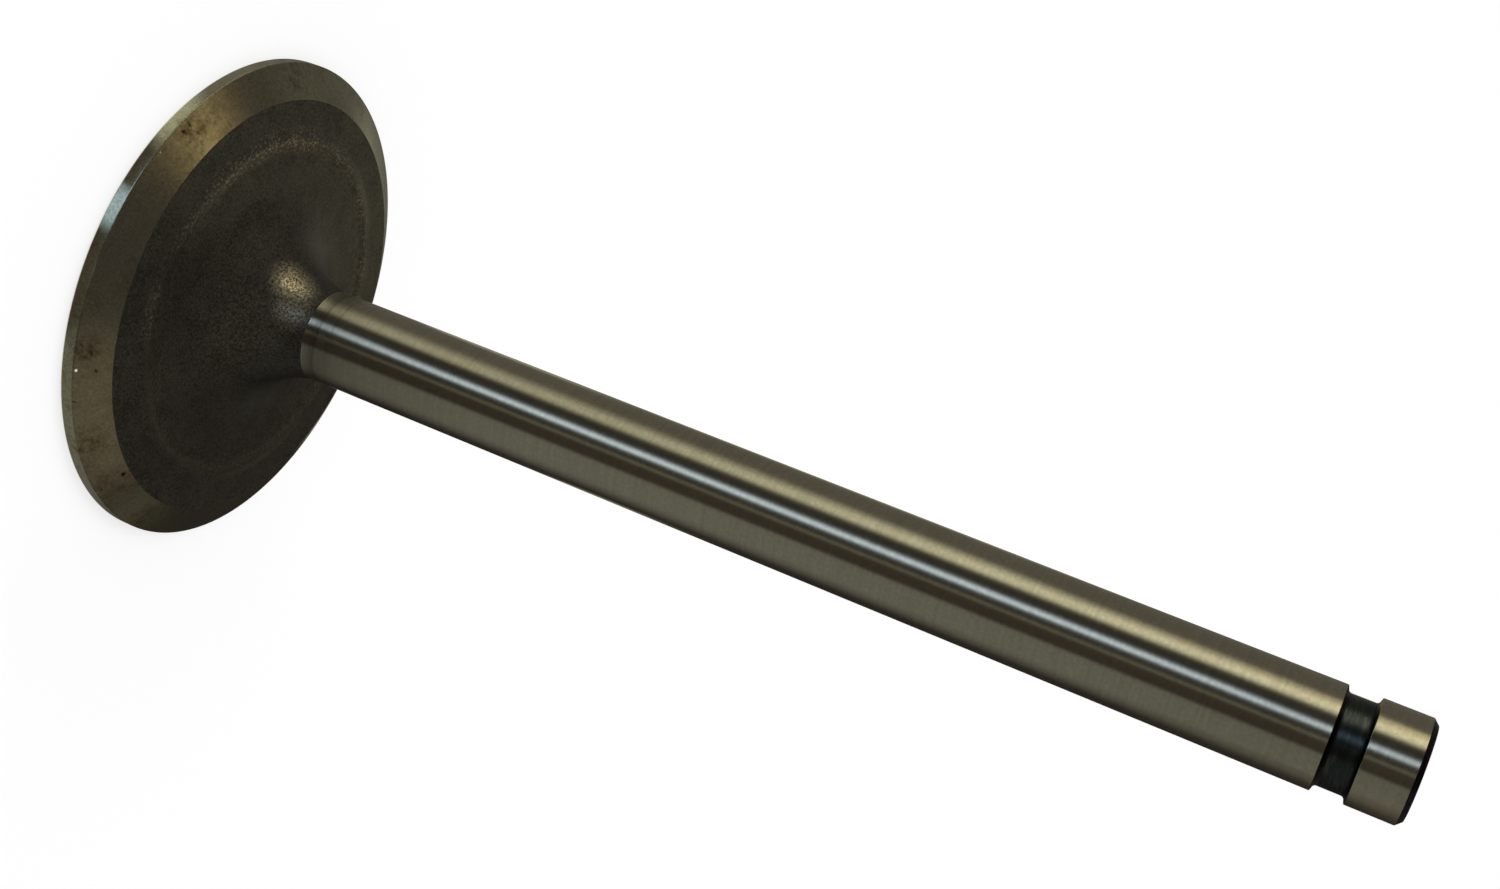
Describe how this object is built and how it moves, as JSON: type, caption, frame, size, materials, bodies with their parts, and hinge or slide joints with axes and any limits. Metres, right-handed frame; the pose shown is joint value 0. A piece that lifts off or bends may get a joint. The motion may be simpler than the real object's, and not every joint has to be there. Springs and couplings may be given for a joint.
{
  "type": "engine valve",
  "caption": "Poppet valve: round head with a conical seat face, filleted neck, long ground stem, keeper groove and chamfered tip.",
  "frame": {"origin": "centre of the combustion face, which the valve stands on", "axes": "+Z from the head along the stem to the tip; the valve is round about Z"},
  "size_m": [0.0514, 0.0514, 0.1219],
  "materials": {
    "valve_steel": "ground stem and machined seat, dark forged underhead"
  },
  "bodies": {
    "root": {"valve": "valve_steel"}
  },
  "joints": []
}
